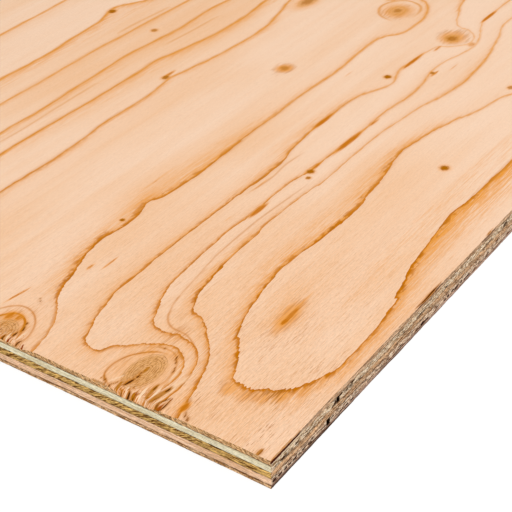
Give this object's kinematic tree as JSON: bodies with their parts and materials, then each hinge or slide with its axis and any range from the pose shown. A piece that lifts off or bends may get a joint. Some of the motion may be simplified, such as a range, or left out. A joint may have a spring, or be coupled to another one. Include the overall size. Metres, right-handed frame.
{
  "type": "plywood sheet",
  "caption": "Flat rectangular softwood plywood sheet with a knotty face and its crossed plies showing along the sawn edges.",
  "frame": {"origin": "middle of the back face, on the floor", "axes": "+X along the sheet and the grain of its faces, +Y across the sheet, +Z out of its face"},
  "size_m": [2.44, 1.22, 0.018],
  "materials": {
    "face_veneer": "sanded bare softwood with orange growth rings and knots",
    "crossband_veneer": "sawn bare softwood, pale",
    "centre_veneer": "sawn bare softwood, ochre brown",
    "back_veneer": "bare softwood, unsanded"
  },
  "bodies": {
    "root": {"face_veneer": "face_veneer", "upper_crossband_strip_1": "crossband_veneer", "upper_crossband_strip_2": "crossband_veneer", "upper_crossband_strip_3": "crossband_veneer", "centre_veneer": "centre_veneer", "lower_crossband_strip_1": "crossband_veneer", "lower_crossband_strip_2": "crossband_veneer", "lower_crossband_strip_3": "crossband_veneer", "back_veneer": "back_veneer"}
  },
  "joints": []
}
